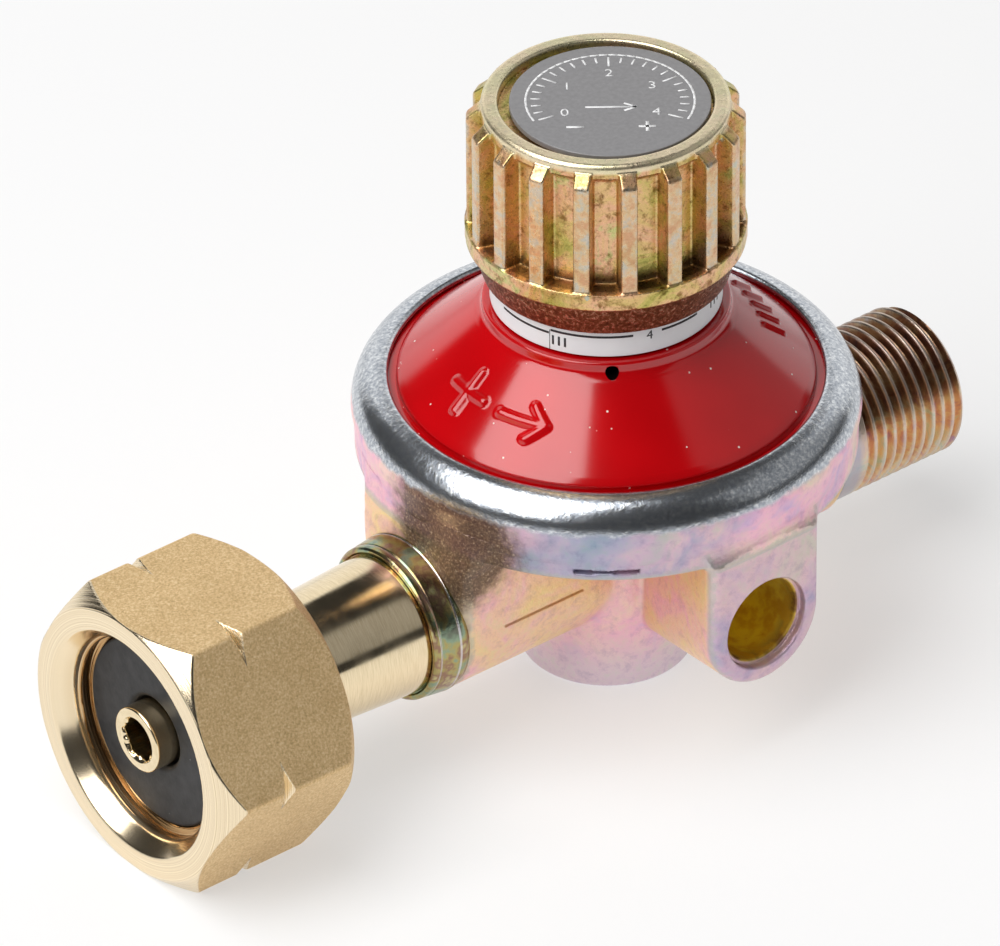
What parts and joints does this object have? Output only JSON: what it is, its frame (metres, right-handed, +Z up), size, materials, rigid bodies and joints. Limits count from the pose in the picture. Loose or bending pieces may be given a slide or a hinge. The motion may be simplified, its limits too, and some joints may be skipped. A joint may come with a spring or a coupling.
{
  "type": "gas regulator",
  "caption": "Adjustable propane pressure regulator: die-cast body, red bonnet, screw-down knob with a pressure scale, hexagonal inlet nut, threaded outlet, gauge port and inner valve.",
  "frame": {"origin": "centre of the flat underside of the body casting's central boss, on the axis of the bonnet, knob, diaphragm and valve", "axes": "+Z up along the bonnet and knob axis; +X along the inlet and outlet axis towards the outlet thread; -Y towards the gauge port"},
  "size_m": [0.1063, 0.0534, 0.0677],
  "materials": {
    "cast_zinc": "die-cast zinc with iridescent peach to lilac chromate, machined silver rim",
    "red_paint": "high gloss red powder coat",
    "band_white": "satin white printed band",
    "yellow_zinc": "die-cast zinc with yellow chromate, mottled",
    "label_grey": "printed grey foil disc with white marks",
    "spring_steel": "drawn wire",
    "white_plastic": "moulded acetal",
    "pressed_steel": "zinc plated pressing",
    "black_rubber": "moulded nitrile",
    "seal_rubber": "dark grey moulded seal",
    "brass": "turned and polished",
    "nut_brass": "shot-blasted flats with turned faces",
    "sintered_bronze": "porous sintered bronze"
  },
  "bodies": {
    "root": {"body_casting": "cast_zinc", "bonnet": "red_paint", "dial_band": "band_white", "knob_stop_ring": "spring_steel", "slip_ring": "white_plastic", "diaphragm": "black_rubber", "valve_seat": "brass", "valve_seat_o_ring": "black_rubber", "poppet_spring": "spring_steel", "inlet_nipple": "brass", "inlet_seal": "seal_rubber", "inlet_filter": "sintered_bronze"},
    "spring_carrier": {"thrust_washer": "white_plastic", "spring_button": "pressed_steel", "adjusting_spring": "spring_steel"},
    "knob": {"knob": "yellow_zinc", "knob_label": "label_grey"},
    "diaphragm_stack": {"upper_diaphragm_plate": "pressed_steel", "lower_diaphragm_plate": "pressed_steel", "diaphragm_stem": "brass"},
    "poppet": {"poppet": "brass", "poppet_pad": "black_rubber"},
    "union_nut": {"union_nut": "nut_brass"}
  },
  "joints": [
    {"name": "knob_travel", "type": "slide", "parent": "root", "child": "spring_carrier", "axis": [0, 0, 1], "range_m": [-0.003, 0.0015], "deforming": ["adjusting_spring"]},
    {"name": "knob_turn", "type": "hinge", "parent": "spring_carrier", "child": "knob", "pos_m": [0, 0, 0.055], "axis": [0, 0, 1], "range_deg": [-721, 361]},
    {"name": "diaphragm_stroke", "type": "slide", "parent": "root", "child": "diaphragm_stack", "axis": [0, 0, 1], "range_m": [-0.0008, 0], "stiffness_N_per_m": 5000, "deforming": ["diaphragm"]},
    {"name": "poppet_lift", "type": "slide", "parent": "root", "child": "poppet", "axis": [0, 0, 1], "range_m": [-0.00081, 0.00001], "deforming": ["poppet_spring"]},
    {"name": "nut_spin", "type": "hinge", "parent": "root", "child": "union_nut", "pos_m": [-0.0546, 0, 0.015], "axis": [1, 0, 0], "continuous": true}
  ],
  "couplings": [
    {"joint": "knob_turn", "follows": "knob_travel", "rad_per_m": 4188.8},
    {"joint": "poppet_lift", "follows": "diaphragm_stroke", "ratio": 1}
  ]
}
